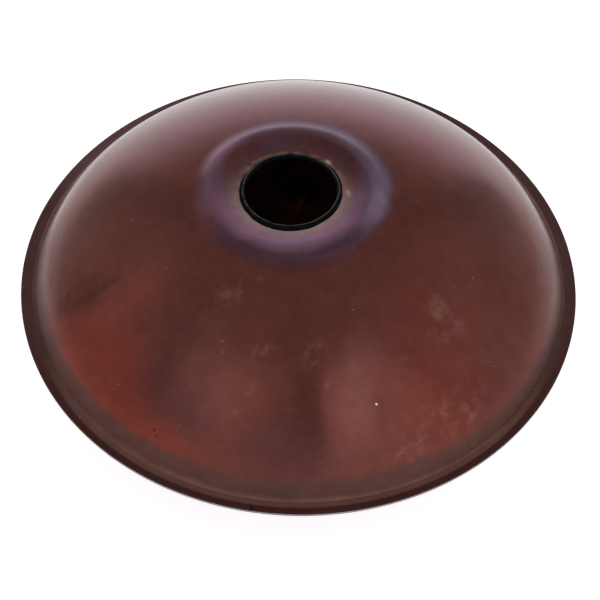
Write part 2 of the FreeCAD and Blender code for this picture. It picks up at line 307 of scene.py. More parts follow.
class Drawn:
    """Sizes of the drawn shape that follow from the press's settings, from the seam's middle."""

    def __init__(self, press):
        self.press = press
        self.over = press.bond_gap / 2 + press.sheet
        wall, fillet = press.wall_angle, press.foot_fillet
        self.centre_height = self.over + press.crown_rise - press.crown_radius
        self.centre = Vector((0, 0, SEAM + self.centre_height))
        wall_foot = self.over + fillet * (1 - math.cos(wall))
        self.wall_top = wall_foot + press.wall_run * math.sin(wall)
        rise = self.wall_top - self.centre_height - press.shoulder_radius * math.cos(wall)
        across = press.crown_radius - press.shoulder_radius
        self.crown_edge = math.acos(rise / across)
        beyond = press.shoulder_radius * math.sin(wall)
        self.wall_radius = across * math.sin(self.crown_edge) + beyond
        reach = self.wall_radius + press.wall_run * math.cos(wall)
        self.foot_radius = reach + fillet * math.sin(wall)

    def section(self, name, crown_stop, crown_steps):
        """The outer face from the flange's edge in to where the crown has the slope crown_stop."""
        press = self.press
        section = Section(name, press.rim_radius, self.over)
        section.line(self.foot_radius, self.over, steps=4)
        section.arc(0, press.wall_angle, press.foot_fillet, False, 5)
        section.line(self.wall_radius, self.wall_top, steps=3)
        section.arc(press.wall_angle, self.crown_edge, press.shoulder_radius, True, 18)
        section.arc(self.crown_edge, crown_stop, press.crown_radius, True, crown_steps)
        return section


def thicken(piece, press):
    """Gives the skin the sheet's thickness inwards. Its cut edges are ground bare."""
    add_slots(piece, 3)
    wall = {"thickness": press.sheet, "offset": -1.0, "use_even_offset": True}
    apply_modifier(piece, "SOLIDIFY", "sheet", **wall, material_offset=1, material_offset_rim=2)
    corners = {"limit_method": "ANGLE", "angle_limit": math.radians(55)}
    apply_modifier(piece, "BEVEL", "edge", width=0.18 * MM, segments=2, **corners)
    smooth(piece, 35)


def port_section(drawn, port, name):
    """The port side's outer face, in over the raised ring and the bowl to the port."""
    crown = drawn.press.crown_radius
    start = math.asin(port.ring_outer_radius / crown)
    section = drawn.section(name, start, 46)
    section.arc(start, port.ring_slope, port.valley_radius, False, 7)
    section.arc(port.ring_slope, -port.bowl_slope, port.crest_radius, True, 18)
    section.arc(-port.bowl_slope, 0, port.bowl_radius, False, 8)
    lip = section.at.z
    section.line(port.radius, lip, steps=2)
    return section, lip


def lean_port(piece, drawn, port, ring_only):
    """Turns the ring about the crown's centre. The crown round it follows and stays spherical."""
    edge = port.ring_outer_radius + 0.5 * MM
    make_active(piece)
    select_vertices(piece, lambda place: not ring_only or place.xy.length < edge)
    bpy.ops.transform.rotate(
        value=port.lean,
        orient_axis="Y",
        center_override=drawn.centre,
        use_proportional_edit=ring_only,
        proportional_edit_falloff="SMOOTH",
        proportional_size=LEAN_REACH,
    )
    leave_edit()


def lift(piece, height):
    edit_whole(piece)
    bpy.ops.transform.translate(value=(0, 0, height))
    leave_edit()


def turn_round(piece, axis, angle):
    edit_whole(piece)
    bpy.ops.transform.rotate(value=angle, orient_axis=axis, center_override=(0, 0, 0))
    leave_edit()


def finish_piece(piece, node, slot, *materials):
    add_slots(piece, len(materials))
    for number, material in enumerate(materials):
        piece.data.materials[number] = material
    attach(piece, "root")
    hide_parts(node)


def add_slots(piece, count):
    """Empty material slots, for the modifiers that set materials by number."""
    while len(piece.data.materials) < count:
        piece.data.materials.append(None)


# soft dents in the port side: x, y, height above the seam, depth and reach, in millimetres
PORT_DENTS = (
    (-208, -84, 43, 0.7, 20),
    (-190, -80, 56, 0.75, 22),
    (-168, -78, 69, 0.6, 24),
    (12, -202, 58, 0.45, 34),
)


class HANDPAN_OT_port_shell(bpy.types.Operator):
    """Model the port-side shell with its raised ring, bowl and port"""

    bl_idname = "handpan.port_shell"
    bl_label = "Port-side shell"

    def execute(self, context):
        press, port = context.scene.handpan_press, context.scene.handpan_port
        drawn = Drawn(press)
        section, _ = port_section(drawn, port, "port_side")
        piece = section.spin(press.segments)
        face_up(piece)
        lift(piece, SEAM)
        lean_port(piece, drawn, port, ring_only=True)
        press_waves(piece, drawn, ((150 * MM, 0.8 * MM), (55 * MM, 0.3 * MM)))
        for x, y, z, depth, reach in PORT_DENTS:
            place = Vector((x * MM, y * MM, SEAM + z * MM))
            inward = (drawn.centre - place).normalized() * (depth * MM)
            nudge(piece, place, inward, reach * MM)
        thicken(piece, press)
        materials = port_steel(), inner_steel(), ground_edge()
        finish_piece(piece, "port_shell", "port_side_steel", *materials)
        return {"FINISHED"}


# semitones of each tone field above the lowest one, in rising order
SCALE = (0, 1, 3, 5, 7, 8, 10, 12)
SEMITONES_PER_OCTAVE = 12
FIELD_SHRINK = 0.42
FIRST_HEADING = math.radians(90)
RAMP_STOPS = 24
# keeps the ramp's deepest shade just under white
BELOW_WHITE = 0.999


def tone_fields(notes):
    """Heading and half sizes of each tone field: low notes first, then to each side by turns."""
    step = 2 * math.pi / len(SCALE)
    for number, semitones in enumerate(SCALE):
        side = 1 if number % 2 else -1
        heading = FIRST_HEADING + side * ((number + 1) // 2) * step
        scale = 2 ** (-semitones / SEMITONES_PER_OCTAVE * FIELD_SHRINK)
        yield heading, notes.field_length * scale / 2, notes.field_width * scale / 2


def press_tone_field(piece, drawn, notes, heading, half_length, half_width):
    """Flattens an oval field into the crown and presses its dimple, through a round ramp."""
    crown = drawn.press.crown_radius
    flat = half_width**2 / (2 * crown)
    dimple = notes.field_dimple_depth
    dimple_share = notes.field_dimple / notes.field_length

    middle = bpy.data.objects.new("field_middle", None)
    bpy.context.scene.collection.objects.link(middle)
    place = (
        Matrix.Translation((0, 0, drawn.centre_height))
        @ Matrix.Rotation(heading, 4, "Z")
        @ Matrix.Rotation(notes.field_polar, 4, "Y")
        @ Matrix.Translation((0, 0, crown))
    )
    middle.matrix_world = place @ Matrix.Diagonal((half_length, half_width, 1.0, 1.0))

    texture = bpy.data.textures.new("field", "BLEND")
    texture.progression = "SPHERICAL"
    texture.use_color_ramp = True
    ramp = texture.color_ramp
    ramp.interpolation = "LINEAR"
    for stop in range(RAMP_STOPS):
        t = stop / (RAMP_STOPS - 1)
        out = 1 - t
        depth = flat * (1 - out**2)
        inner = max(0.0, 1 - (out / dimple_share) ** 2)
        depth += dimple * inner * (2 - inner) * BELOW_WHITE
        if 0 < stop < RAMP_STOPS - 1:
            element = ramp.elements.new(t)
        else:
            element = ramp.elements[-1 if stop else 0]
        shade = depth / (flat + dimple)
        element.color = (shade, shade, shade, 1.0)
    settings = {"texture_coords": "OBJECT", "texture_coords_object": middle}
    settings.update(texture=texture, strength=-(flat + dimple), mid_level=0.0)
    apply_modifier(piece, "DISPLACE", "field", **settings)
    bpy.data.textures.remove(texture)
    bpy.data.objects.remove(middle)


class HANDPAN_OT_note_shell(bpy.types.Operator):
    """Model the note-side shell with its centre note and tone fields"""

    bl_idname = "handpan.note_shell"
    bl_label = "Note-side shell"

    def execute(self, context):
        press, notes = context.scene.handpan_press, context.scene.handpan_notes
        drawn = Drawn(press)
        edge = math.asin(notes.centre_radius / press.crown_radius)
        section = drawn.section("note_side", edge, 50)
        section.arc(edge, 0, notes.centre_round, True, 7)
        across = notes.dimple_round + notes.dimple_radius
        section.line(across * math.sin(notes.dimple_slope), section.at.z, steps=10)
        section.arc(0, -notes.dimple_slope, notes.dimple_round, True, 4)
        section.arc(-notes.dimple_slope, 0, notes.dimple_radius, False, 10)
        piece = section.spin(press.segments)
        face_up(piece)
        for field in tone_fields(notes):
            press_tone_field(piece, drawn, notes, *field)
        press_waves(piece, drawn, ((130 * MM, 0.7 * MM), (48 * MM, 0.35 * MM)))
        turn_round(piece, "X", math.pi)
        lift(piece, SEAM)
        thicken(piece, press)
        materials = note_steel(), inner_steel(), ground_edge()
        finish_piece(piece, "note_shell", "note_side_steel", *materials)
        return {"FINISHED"}


LIP_STEPS = 10
# less than 1 makes the edging's lips squarer than half an ellipse
LIP_FULLNESS = 0.8
TRIM_SEGMENTS = 220
# where the edging was bent by hand: heading, inwards, up and reach, in degrees and millimetres
EDGING_KINKS = (
    (147, 1.1, -0.2, 15),
    (118, -0.3, 0.0, 9),
    (2, 0.7, -0.2, 6),
    (216, 0.7, -0.3, 7),
    (250, -0.4, -0.2, 5),
    (310, 0.4, -0.2, 13),
    (60, 0.4, -0.3, 12),
)


class HANDPAN_OT_port_trim(bpy.types.Operator):
    """Model the rubber edging in the port"""

    bl_idname = "handpan.port_trim"
    bl_label = "Port edging"

    def execute(self, context):
        press, port = context.scene.handpan_press, context.scene.handpan_port
        drawn = Drawn(press)
        probe, lip_top = port_section(drawn, port, "probe")
        deselect_everything()
        bpy.data.objects.remove(probe.piece)
        lip_bottom = lip_top - press.sheet
        section = Section("port_edging", port.radius, lip_bottom)
        section.line(port.trim_reach, lip_bottom)
        half = (port.trim_reach - port.trim_bore) / 2
        middle = (port.trim_reach + port.trim_bore) / 2
        for face, side in ((lip_bottom, -1), (lip_top, 1)):
            for step in range(LIP_STEPS + 1):
                turned = math.pi * step / LIP_STEPS
                across = half * math.cos(turned) * -side
                height = port.trim_wall * math.sin(turned) ** LIP_FULLNESS
                section.line(middle + across, face + side * height)
        section.line(port.radius, lip_top)
        section.line(port.radius, lip_bottom)
        merge_doubles()
        piece = section.spin(TRIM_SEGMENTS, 2 * math.pi - port.joint_angle)
        bpy.ops.mesh.select_all(action="DESELECT")
        bpy.ops.mesh.select_non_manifold()
        bpy.ops.mesh.edge_face_add()
        turn_out()
        turn_round(piece, "Z", -port.joint_heading)
        lift(piece, SEAM)
        lean_port(piece, drawn, port, ring_only=False)
        low, high = (Vector(corner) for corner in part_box("port_trim"))
        middle = (low + high) / 2
        for heading, inward, up, reach in EDGING_KINKS:
            out = Vector((math.cos(math.radians(heading)), math.sin(math.radians(heading)), 0))
            place = middle + out * port.radius + AXIS * (middle.z - low.z) * 0.6
            nudge(piece, place, (AXIS * up - out * inward) * MM, reach * MM)
        smooth(piece, 40)
        finish_piece(piece, "port_trim", "edging_rubber", edging_rubber())
        return {"FINISHED"}


# the bond stops short of the flanges' edges and bulges between them
BOND_INSET = 0.35 * MM
BOND_BULGE = 0.1 * MM


class HANDPAN_OT_rim_bond(bpy.types.Operator):
    """Model the adhesive between the flanges"""

    bl_idname = "handpan.rim_bond"
    bl_label = "Rim bond"

    def execute(self, context):
        press = context.scene.handpan_press
        drawn = Drawn(press)
        gap = press.bond_gap / 2
        outer, inner = press.rim_radius - BOND_INSET, drawn.foot_radius + BOND_INSET
        section = Section("bond", inner, -gap)
        corners = (outer, -gap), (outer + BOND_BULGE, 0), (outer, gap), (inner, gap), (inner, -gap)
        for x, z in corners:
            section.line(x, z)
        merge_doubles()
        piece = section.spin(press.segments)
        turn_out()
        lift(piece, SEAM)
        smooth(piece, 40)
        finish_piece(piece, "rim_bond", "rim_adhesive", cured_adhesive())
        return {"FINISHED"}


# -------------------- finishes


class Level:
    """A node's output that can be written into sums as a number can."""

    def __init__(self, finish, socket):
        self.finish, self.socket = finish, socket

    def __add__(self, other):
        return self.finish.math("ADD", self, other)

    def __sub__(self, other):
        return self.finish.math("SUBTRACT", self, other)

    def __rsub__(self, other):
        return self.finish.math("SUBTRACT", other, self)

    def __mul__(self, other):
        return self.finish.math("MULTIPLY", self, other)

    __radd__ = __add__
    __rmul__ = __mul__


class Nodes:
    """A node tree whose nodes are added one after another."""

    def __init__(self, tree):
        self.tree = tree
        self.texture = self.node("ShaderNodeTexCoord")

    def connect(self, socket, value):
        if isinstance(value, Level):
            value = value.socket
        if isinstance(value, bpy.types.NodeSocket):
            self.tree.links.new(value, socket)
        elif socket.type == "RGBA" and len(value) == 3:
            socket.default_value = (*value, 1.0)
        else:
            socket.default_value = value

    def node(self, kind, settings=None, inputs=None):
        node = self.tree.nodes.new(kind)
        for key, value in (settings or {}).items():
            setattr(node, key, value)
        for key, value in (inputs or {}).items():
            self.connect(node.inputs[key], value)
        return node

    def math(self, operation, a, b=0.0):
        node = self.node("ShaderNodeMath", {"operation": operation}, {0: a, 1: b})
        return Level(self, node.outputs[0])

    def most(self, a, b):
        """The greater of two levels, or b alone where there is no a yet."""
        return b if a is None else self.math("MAXIMUM", a, b)

    def step(self, value, low, high, start=0.0, end=1.0):
        """A smooth step from start, where value is low, to end, where it is high."""
        ends = {"From Min": low, "From Max": high, "To Min": start, "To Max": end}
        settings = {"interpolation_type": "SMOOTHSTEP"}
        node = self.node("ShaderNodeMapRange", settings, {"Value": value, **ends})
        return Level(self, node.outputs["Result"])

    def fade(self, value, none, full):
        """0 where value is none, 1 where it is full. Both in millimetres."""
        return self.step(value, none * MM, full * MM)

    def band(self, value, none, full, still_full, none_again):
        """1 from full to still_full, falling to 0 on both sides. In millimetres."""
        return self.fade(value, none, full) * self.fade(value, none_again, still_full)

    def mix(self, factor, a, b, blend="MIX"):
        settings = {"data_type": "RGBA", "blend_type": blend}
        node = self.node("ShaderNodeMix", settings, {0: factor, 6: a, 7: b})
        return node.outputs[2]

    def noise(self, place, scale, detail=2.0, roughness=0.5):
        inputs = {"Vector": place, "Scale": scale, "Detail": detail, "Roughness": roughness}
        return Level(self, self.node("ShaderNodeTexNoise", {}, inputs).outputs[0])

    def mapped(self, at=(0, 0, 0), heading=0.0, size=(1, 1, 1), place=None):
        """Coordinates measured from at, turned by heading, in units of size."""
        turned = {"Location": at, "Rotation": (0, 0, heading), "Scale": size}
        inputs = {"Vector": place or self.place, **turned}
        return self.node("ShaderNodeMapping", {"vector_type": "TEXTURE"}, inputs).outputs[0]

    def from_axis(self, x=0.0, y=0.0, place=None):
        """Coordinates from an upright axis, with the height all but taken out."""
        return self.mapped((x, y, 0), 0, (1, 1, FLATTENED), place)

    def length(self, vector):
        node = self.node("ShaderNodeVectorMath", {"operation": "LENGTH"}, {0: vector})
        return Level(self, node.outputs["Value"])

    def split(self, vector):
        node = self.node("ShaderNodeSeparateXYZ", {}, {0: vector})
        return [Level(self, socket) for socket in node.outputs]

    def bump(self, height, strength, distance, normal=None):
        inputs = {"Height": height, "Strength": strength, "Distance": distance}
        if normal is not None:
            inputs["Normal"] = normal
        return self.node("ShaderNodeBump", {}, inputs).outputs[0]


class Finish(Nodes):
    """A material, measured in the piece's own coordinates."""

    def __init__(self, name):
        self.material = bpy.data.materials.new(name)
        self.material.use_nodes = True
        super().__init__(self.material.node_tree)
        self.shader = self.tree.nodes["Principled BSDF"]
        self.place = self.texture.outputs["Object"]
        self.colour = None

    def coat(self, share, tone, blend="MIX"):
        """Lays a tone over the colour so far, in that share."""
        self.colour = self.mix(share, self.colour, tone, blend)

    def set(self, **sockets):
        """Connects or sets the shader's sockets, whose names have _ for each space."""
        for name, value in sockets.items():
            self.connect(self.shader.inputs[name.replace("_", " ")], value)


def spot(finish, oval, core=0.0, place=None):
    """1 in the middle of an oval seen from above, falling to 0 at its edge. Sizes in mm."""
    x, y, heading, half_length, half_width = oval
    size = (half_length * MM, half_width * MM, 10.0)
    inside = finish.mapped((x * MM, y * MM, 0), math.radians(heading), size, place)
    return finish.step(finish.length(inside), 1.0, core)


def wander(finish, size, reach):
    """The piece's coordinates pushed about, so that edges drawn in them wander."""
    inputs = {"Vector": finish.place, "Scale": 1 / (size * MM), "Detail": 3.0}
    noise = finish.node("ShaderNodeTexNoise", {}, inputs)
    inputs = {0: noise.outputs["Color"], 1: (0.5, 0.5, 0.5)}
    push = finish.node("ShaderNodeVectorMath", {"operation": "SUBTRACT"}, inputs)
    inputs = {0: push.outputs[0], 1: (reach * MM,) * 3, 2: finish.place}
    return finish.node("ShaderNodeVectorMath", {"operation": "MULTIPLY_ADD"}, inputs).outputs[0]


def streaks(finish, heading, size, length, low, high, seed=0.0):
    """Fine straight marks along a heading: a noise drawn out along it. Sizes in mm."""
    drawn_out = finish.mapped((0, 0, seed), math.radians(heading), (length * MM, size * MM, 10.0))
    return finish.step(finish.noise(drawn_out, 1.0), low, high)


def specks(finish, pitch, radius, share):
    """Small dots, one to a cell, in a share of the cells. Sizes in mm."""
    inputs = {"Vector": finish.place, "Scale": 1 / (pitch * MM)}
    cells = finish.node("ShaderNodeTexVoronoi", {}, inputs)
    distance = Level(finish, cells.outputs["Distance"])
    dot = finish.step(distance, radius / pitch, 0.5 * radius / pitch)
    chance = finish.split(cells.outputs["Color"])[0]
    return dot * finish.math("LESS_THAN", chance, share)


def grain(finish, fine=0.05):
    """The skin of the oxide: a fine tooth over a faint orange peel."""
    tooth = finish.noise(finish.place, 1 / (0.9 * MM), 3.0, 0.6)
    peel = finish.noise(finish.place, 1 / (9 * MM))
    normal = finish.bump(peel, 0.12, 0.25 * MM)
    return finish.bump(tooth, fine, 0.12 * MM, normal)


# oxide colours that only some patches have. Some paint light too: DUSK paints a dark reflection
# and a dent's shade, the bowl's pale tone is a painted reflection, LILAC is partly one, and BRIGHT
# paints a glint
AMBER = (0.19, 0.052, 0.038)
PINK = (0.165, 0.055, 0.047)
DUSK = (0.080, 0.025, 0.021)
PLUM = (0.094, 0.034, 0.036)
SMUDGE = (0.30, 0.17, 0.145)
BOWL_REFLECTION = (0.39, 0.25, 0.26)
STEEL_BLUE = (0.10, 0.066, 0.105)
LILAC = (0.235, 0.12, 0.18)
BUFF = (0.36, 0.26, 0.20)
BRIGHT = (0.75, 0.68, 0.6)
# tones that one place has, mostly painted light: a painted sheen and painted shade round the ring;
# painted shade, a pale foot that is partly a painted reflection, and a painted highlight at the
# wall; on the flange, oxide that is partly a painted reflection, and a painted shade line
SHEEN_LEFT, SHEEN_RIGHT = (0.175, 0.086, 0.122), (0.23, 0.165, 0.235)
RING_SHADE, FLANK_SHADE = (0.055, 0.028, 0.036), (0.058, 0.030, 0.048)
INNER_SHADE = (0.045, 0.021, 0.032)
BOWL_BACK_SHADE = (0.098, 0.046, 0.043)
WALL_SHADE, WALL_PALE = (0.085, 0.036, 0.032), (0.165, 0.082, 0.072)
WALL_PALEST = (0.30, 0.155, 0.135)
LIP_HIGHLIGHT = (0.165, 0.080, 0.066)
FLANGE_SIDE, FLANGE_BACK = (0.088, 0.040, 0.038), (0.135, 0.066, 0.066)
FLANGE_EDGE, FLANGE_FOOT_SHADE = (0.030, 0.016, 0.016), (0.018, 0.010, 0.010)
# radii of the flange's inner edge and of the fine line of painted shade along it
FLANGE_FOOT, LINE_RADIUS = 254.3 * MM, 253.9 * MM
# radius of the painted highlight line along the edging's lip
HIGHLIGHT_LINE_RADIUS = 43.1 * MM

# the port side's patches: x and y, heading of the long axis, half length and half width, the core
# that has the full colour, the colour, its strength. In millimetres and degrees, seen from above
PORT_PATCHES = (
    (-150, -95, 25, 75, 42, 0.1, AMBER, 0.75),
    (-165, -152, 128, 116, 46, 0.3, "red", 0.85),
    (-118, -212, 150, 58, 22, 0.2, "red", 0.75),
    (-110, -172, 115, 40, 30, 0.15, "blue", 0.8),
    (-86, -196, 150, 36, 15, 0.2, "blue", 0.7),
    (-80, -150, 50, 60, 26, 0.1, PINK, 0.7),
    (-60, -185, 90, 42, 36, 0.1, PINK, 0.65),
    (-8, -222, 0, 70, 34, 0.1, PLUM, 0.75),
    # a painted reflection: the dark wedge that the camera's side throws on the front of the dome
    (13, -196, 90, 58, 22, 0.1, DUSK, 0.9),
    (48, -188, 80, 62, 26, 0.2, PINK, 0.75),
    (118, -168, 60, 55, 60, 0.1, "red", 0.45),
    (105, -112, 20, 70, 40, 0.1, "red", 0.3),
    (178, -60, 90, 60, 30, 0.1, DUSK, 0.4),
    # painted shade in the crease along the soft dents on the left
    (-190, -79, 8, 50, 10, 0.1, DUSK, 0.5),
    (-22, 60, 0, 24, 11, 0.1, "violet", 0.7),
    (30, 52, -40, 20, 9, 0.1, (0.15, 0.045, 0.036), 0.8),
)
# pale smudges left by hands, as above; the last one is a painted highlight beside the dents'
# crease
SMUDGES_AND_HIGHLIGHT = (
    (-30, -156, 80, 22.5, 16.5),
    (16, -156, 40, 22.5, 12),
    (100, -204, 60, 33, 19.5),
    (128, -186, 20, 33, 16.5),
    (150, -172, 70, 33, 18),
    (90, -219, 30, 13.5, 7.5),
    (-43, -190, 35, 19.5, 6),
    (38, -178, 82, 7.5, 25.5),
    (-52, -104, 30, 39, 13.5),
    (128, -112, 80, 30, 27),
    # a painted highlight beside the dents' crease, not a smudge
    (-216, -78, 80, 22.5, 7.5),
)
# where hands and the edging have rubbed the bowl, as above
RUBBED_SPOTS = ((25, 38, 60, 5, 4), (41, -5, 90, 6, 4), (-5, 49, 0, 12, 3))


def flange_tone(finish, look, side):
    """The flange's dark oxide, darker at its edge, greyer at the sides and back, partly oxide and
    partly a painted reflection, and a fine line of painted shade in the crease at its foot.
    """
    x, y, z = finish.split(finish.place)
    above = (z - SEAM) * side - (BOND_GAP / 2 + SHEET)
    out = finish.length(finish.from_axis())
    near = finish.fade(y, -60, -190)
    foot = FLANGE_FOOT + near * (4.4 * MM)
    flat = finish.fade(out - foot, -1.2, 0.9) * finish.fade(above, 1.4, 0.3)
    # greyer at the sides and more so at the left back: partly oxide, partly a painted reflection
    left_back = finish.fade(y, 60, 150) * finish.fade(x, 60, -120)
    oxide = finish.mix(left_back, FLANGE_SIDE, FLANGE_BACK)
    oxide = finish.mix(near, oxide, look.flange)
    oxide = finish.mix(finish.fade(out, 257.5, 261) * (0.12 + 0.3 * near), oxide, FLANGE_EDGE)
    finish.coat(flat, oxide)
    # painted shade: a fine dark line in the crease at the flange's foot, left off the front
    line = finish.fade(finish.math("ABSOLUTE", out - LINE_RADIUS), 0.8, 0.2)
    finish.coat(line * (1 - near) * 0.3, FLANGE_FOOT_SHADE)


def clouds(finish, cloud_size, mottle_size):
    """Two noises: broad clouds of oxide, and a mottle inside them. Sizes in mm."""
    cloud = finish.noise(finish.place, 1 / (cloud_size * MM), 4.0, 0.6)
    return cloud, finish.noise(finish.place, 1 / (mottle_size * MM), 5.0, 0.65)


class Ring:
    """Where a point on the port side lies in the raised ring, as levels of its material."""

    def __init__(self, finish):
        around = finish.from_axis(PORT_X, 0, wander(finish, 34, 11))
        self.out = finish.length(around)
        self.across, self.along, _ = finish.split(around)
        off_centre = finish.from_axis(PORT_X + 4 * MM, 7 * MM, wander(finish, 34, 11))
        self.reach = finish.length(off_centre)
        self.right = finish.fade(self.across, -10, 80)
        self.back = finish.fade(self.along, -12, 52)
        self.front = finish.fade(self.along, -22, -66)
        inner_edge = finish.fade(self.out - self.back * (16 * MM), 50, 62)
        self.hot = finish.fade(self.reach, 95, 77) * inner_edge


def ring_tones(finish, look, ring, cloud, mottle, place):
    """The violet ring, its lilac crest and the rubbed bowl inside it, with painted light: a
    painted sheen on the ring's sides, painted shade on its far rim, its front flank and inside its
    far crest, and a painted reflection over the crest and the bowl at the front that turns to
    painted shade at the bowl's back.
    """
    violet = finish.mix(ring.right * 0.75, look.violet, STEEL_BLUE)
    finish.coat(ring.hot * (0.66 + 0.4 * cloud), violet)
    beyond = finish.fade(ring.out, 68, 77) * finish.fade(ring.reach, 90, 78)
    aside = finish.fade(finish.math("ABSOLUTE", ring.across), 30, 66)
    right_back = ring.right * ring.back
    # painted sheen: a lighter tone on the ring's outer slope at its sides, kept off its front and
    # its right back
    sheen = finish.mix(ring.right, SHEEN_LEFT, SHEEN_RIGHT)
    strength = beyond * aside * (1 - ring.front) * (0.8 - 0.6 * right_back)
    finish.coat(strength, sheen)
    # painted shade on the ring's far rim
    far_rim = beyond * finish.most(ring.back * (1 - aside), right_back)
    finish.coat(far_rim * 0.55, RING_SHADE)
    # painted shade on the ring's front flank
    flank = finish.band(ring.out, 68, 78, 82, 94)
    finish.coat(flank * 0.6 * ring.front, FLANK_SHADE)
    # lilac oxide on the crest's inner slope, strongest at the front, where it also paints a
    # reflection
    crest = finish.fade(ring.out, 77, 64) * finish.fade(ring.out, 46, 57)
    near_crest = finish.step(ring.along, 24 * MM, -44 * MM, 0.08, 0.9)
    finish.coat(crest * near_crest, LILAC)
    # the bowl: a pale painted reflection at the front, turning to painted shade at the back
    bowl_reflection_and_shade = finish.mix(finish.fade(ring.along, -46, 34), BOWL_REFLECTION, BOWL_BACK_SHADE)
    finish.coat(finish.fade(ring.out, 62, 49) * 0.85, bowl_reflection_and_shade)
    # painted shade inside the crest at the back
    inside = finish.fade(ring.out, 74, 66) * finish.fade(ring.out, 50, 60)
    finish.coat(inside * ring.back * (0.45 + 0.4 * ring.right), INNER_SHADE)
    pale_band = finish.fade(ring.out, 52, 47.5) * finish.step(mottle, 0.4, 0.6)
    finish.coat(pale_band * (0.16 + 0.2 * ring.back), BUFF)
    for oval in RUBBED_SPOTS:
        patch = spot(finish, oval, 0.2, place)
        finish.coat(patch * finish.step(mottle, 0.34, 0.54) * 0.95, BUFF)


def wall_tones(finish, look, reach, olive):
    """The foot of the wall, where the heat didn't reach: olive. Over it, painted light: a band of
    painted shade up the sides, a paler foot at the sides, partly a painted reflection, and a
    painted highlight on the lip at the front.
    """
    finish.coat(olive * 0.85, look.olive)
    y = finish.split(finish.place)[1]
    beside = finish.fade(y, -110, -20) * finish.fade(y, 225, 165)
    # painted shade: a darker band up the wall at the sides
    finish.coat(beside * finish.band(reach, 220, 227, 233, 238) * 0.35, WALL_SHADE)
    # a paler foot at the sides, partly a painted reflection
    pale = finish.mix(finish.fade(y, 0, 60), WALL_PALE, WALL_PALEST)
    finish.coat(beside * finish.fade(reach, 235, 242), pale)
    # painted highlight along the foot's lip at the front
    lip = finish.fade(y, -90, -190) * finish.fade(reach, 251, 254.5)
    finish.coat(lip * 0.9, LIP_HIGHLIGHT)


def hatching(finish, ring):
    """Fine parallel scratches on the front, and scratches square to the ring on its left."""
    hatch_place = finish.mapped((54 * MM, -186 * MM, 0), math.radians(-68))
    across = finish.split(hatch_place)[1]
    jitter = finish.noise(hatch_place, 1 / (18 * MM)) * 9
    waves = across * (2 * math.pi / (2.6 * MM)) + jitter
    lines = finish.step(finish.math("SINE", waves), 0.2, 1.0)
    hatched = spot(finish, (54, -186, -68, 52, 15), 0.3)
    ray = finish.math("ARCTAN2", ring.along, ring.across)
    rays = finish.step(finish.math("SINE", ray * 170 + jitter), 0.1, 1.0)
    rayed = ring.hot * spot(finish, (-75, 48, 125, 60, 32), 0.2)
    return finish.most(lines * hatched * 0.5, rays * rayed)


def nicks(finish):
    """Two pits and a nick, through the oxide."""
    pit = spot(finish, (-119, -202, 0, 1.5, 1.2))
    pits = finish.most(pit, spot(finish, (-117, -206, 0, 1.0, 1.3)))
    return finish.most(pits, spot(finish, (-35, -260, 85, 6, 1.1), 0.3))


def port_steel():
    """Heat-blued steel that has gone brown: red and dark patches, a violet ring, an olive foot."""
    look = bpy.context.scene.handpan_look
    finish = Finish("port_side_oxide")
    place = wander(finish, 55, 26)
    cloud, mottle = clouds(finish, 70, 14)
    finish.colour = look.brown
    finish.coat(finish.step(cloud, 0.35, 0.65), (0.122, 0.039, 0.033))
    for *oval, core, tone, strength in PORT_PATCHES:
        if isinstance(tone, str):
            tone = getattr(look, tone)
        finish.coat(spot(finish, oval, core, place) * strength, tone)
    ring = Ring(finish)
    ring_tones(finish, look, ring, cloud, mottle, place)
    reach = finish.length(finish.from_axis(1.5 * MM, 1.0 * MM, wander(finish, 40, 4)))
    olive = finish.fade(reach, 241, 246)
    wall_tones(finish, look, reach, olive)
    flange_tone(finish, look, 1)

    # hand marks, hatching, scratches and specks, with a painted highlight beside the dents and a
    # painted glint
    marks = None
    for oval in SMUDGES_AND_HIGHLIGHT:
        marks = finish.most(marks, spot(finish, oval, 0.1, place))
    marks = marks * finish.step(mottle, 0.44, 0.70)
    faint = streaks(finish, 50, 1.1, 26, 0.60, 0.74) * finish.step(cloud, 0.42, 0.6)
    faint += streaks(finish, 118, 1.0, 30, 0.63, 0.76, 0.4) * finish.step(cloud, 0.6, 0.4)
    faint += streaks(finish, 8, 0.9, 20, 0.64, 0.76, 0.9) * finish.step(mottle, 0.45, 0.6)
    hatch = hatching(finish, ring)
    for level, strength in ((marks, 0.26), (faint, 0.13), (hatch, 0.32)):
        finish.coat(level * strength, SMUDGE)
    bright = specks(finish, 9, 0.55, 0.16) + specks(finish, 31, 0.8, 0.14)
    # bright specks, and one spot that is a painted glint
    specks_and_glint = finish.most(bright * 0.5, spot(finish, (67, -189, 0, 1.6, 1.3)))
    finish.coat(specks_and_glint, BRIGHT)
    finish.coat(nicks(finish) * 0.85, (0.008, 0.006, 0.006))

    tone = finish.step(mottle, 0.2, 0.8, 0.88, 1.1)
    shade = finish.node("ShaderNodeCombineColor", {}, {0: tone, 1: tone, 2: tone}).outputs[0]
    finish.coat(1.0, shade, "MULTIPLY")
    matt = finish.fade(reach, 212, 246) * finish.fade(ring.along, 70, -10)
    rough = 0.18 + 0.2 * matt + 0.06 * mottle + 0.12 * marks + 0.07 * hatch
    rough += 0.05 * olive + 0.06 * faint + 0.13 * ring.hot
    normal = finish.bump(faint + hatch, 0.06, 0.15 * MM, grain(finish))
    finish.set(Base_Color=finish.colour, Metallic=1.0, Roughness=rough, Normal=normal)
    return finish.material


